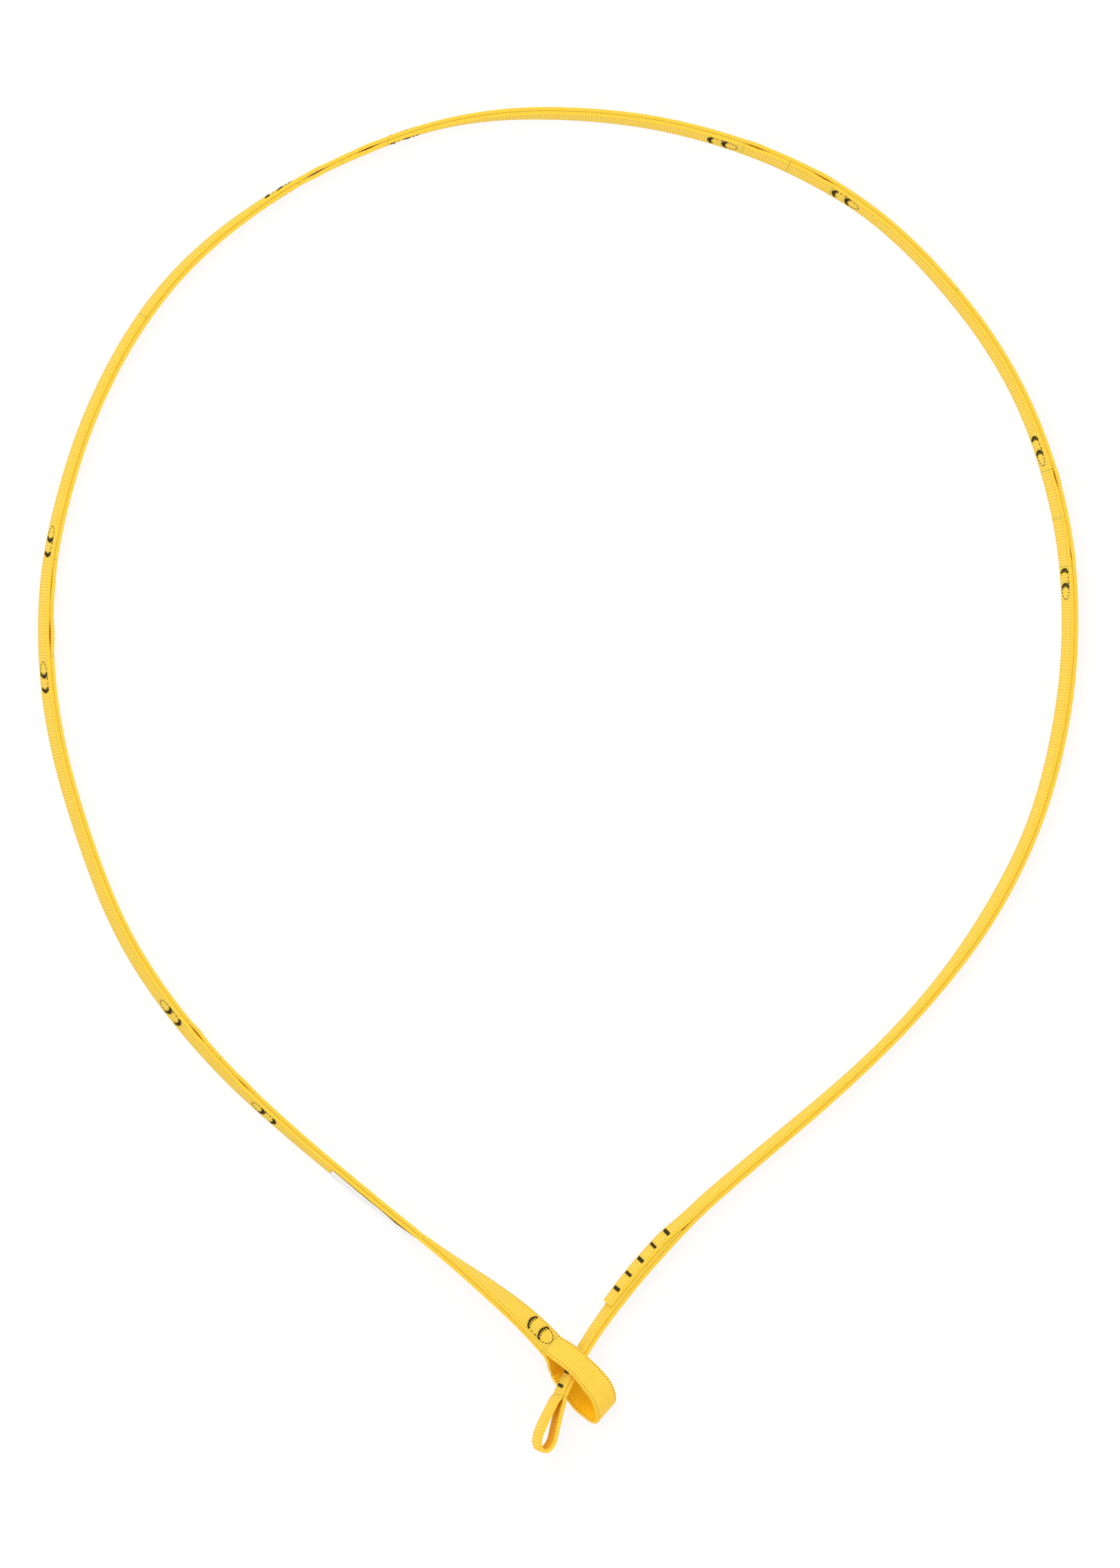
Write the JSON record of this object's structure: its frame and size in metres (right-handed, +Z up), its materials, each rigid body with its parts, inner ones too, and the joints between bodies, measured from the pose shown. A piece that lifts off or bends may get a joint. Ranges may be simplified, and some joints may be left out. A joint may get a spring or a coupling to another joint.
{
  "type": "webbing choker sling",
  "caption": "Flat yellow webbing sling sewn double, with pockets along it, lying on edge as a pear-shaped noose with its small eye drawn through its large eye.",
  "frame": {"origin": "middle of the sling's box on the surface that it lies on", "axes": "+Y from the choke to the top of the loop, +X to the right as the picture shows it, +Z up from the surface"},
  "size_m": [0.6332, 0.8182, 0.0341],
  "materials": {
    "webbing": "ribbed woven webbing, matte",
    "thread": "twisted sewing thread, matte",
    "label": "smooth woven tape, matte"
  },
  "bodies": {
    "lower_left": {"large_eye_loop": "webbing", "large_eye_stitching": "thread", "lower_left_outer_layer": "webbing", "lower_left_inner_layer": "webbing", "pocket_1_start_stitching": "thread", "pocket_1_end_stitching": "thread", "label_tab": "label", "label_stitching": "label"},
    "upper_left": {"upper_left_outer_layer": "webbing", "upper_left_inner_layer": "webbing", "pocket_2_start_stitching": "thread", "pocket_2_end_stitching": "thread", "pocket_3_start_stitching": "thread", "pocket_3_end_stitching": "thread"},
    "upper_right": {"upper_right_outer_layer": "webbing", "upper_right_inner_layer": "webbing", "pocket_4_start_stitching": "thread", "pocket_4_end_stitching": "thread", "pocket_5_start_stitching": "thread", "pocket_5_end_stitching": "thread"},
    "lower_right": {"lower_right_outer_layer": "webbing", "lower_right_inner_layer": "webbing", "tail_inner_layer": "webbing", "splice_bar_tacks": "thread", "small_eye_stitching": "thread"},
    "small_eye": {"small_eye_loop": "webbing"},
    "label": {"label_flap": "label"},
    "pocket_1": {"pocket_1_leg": "webbing"},
    "pocket_2": {"pocket_2_leg": "webbing"},
    "pocket_3": {"pocket_3_leg": "webbing"},
    "pocket_4": {"pocket_4_leg": "webbing"},
    "pocket_5": {"pocket_5_leg": "webbing"}
  },
  "joints": [
    {"name": "left_bend", "type": "hinge", "parent": "lower_left", "child": "upper_left", "pos_m": [-0.30189, 0.01136, 0.009], "axis": [0, 0, 1], "range_deg": [-28, 8]},
    {"name": "top_bend", "type": "hinge", "parent": "upper_left", "child": "upper_right", "pos_m": [-0.00472, 0.40584, 0.009], "axis": [0, 0, 1], "range_deg": [-8, 28]},
    {"name": "right_bend", "type": "hinge", "parent": "upper_right", "child": "lower_right", "pos_m": [0.30665, 0.03525, 0.009], "axis": [0, 0, 1], "range_deg": [-28, 8]},
    {"name": "small_eye_swing", "type": "hinge", "parent": "lower_right", "child": "small_eye", "pos_m": [0.00167, -0.37457, 0.0212], "axis": [0, 0, 1], "range_deg": [-30, 30]},
    {"name": "label_lift", "type": "hinge", "parent": "lower_left", "child": "label", "pos_m": [-0.13464, -0.2417, 0.0097], "axis": [-0.1068, -0.1274, -0.9861], "range_deg": [0, 120]},
    {"name": "pocket_1_open", "type": "slide", "parent": "lower_left", "child": "pocket_1", "axis": [0.7419, 0.6705, 0], "range_m": [0, 0.01]},
    {"name": "pocket_2_open", "type": "slide", "parent": "upper_left", "child": "pocket_2", "axis": [0.9988, -0.0482, 0], "range_m": [0, 0.01]},
    {"name": "pocket_3_open", "type": "slide", "parent": "upper_left", "child": "pocket_3", "axis": [0.3974, -0.9177, 0], "range_m": [0, 0.01]},
    {"name": "pocket_4_open", "type": "slide", "parent": "upper_right", "child": "pocket_4", "axis": [-0.4303, -0.9027, 0], "range_m": [0, 0.01]},
    {"name": "pocket_5_open", "type": "slide", "parent": "upper_right", "child": "pocket_5", "axis": [-0.9795, -0.2015, 0], "range_m": [0, 0.01]}
  ],
  "couplings": [
    {"joint": "top_bend", "follows": "left_bend", "ratio": -1},
    {"joint": "right_bend", "follows": "left_bend", "ratio": 1}
  ]
}
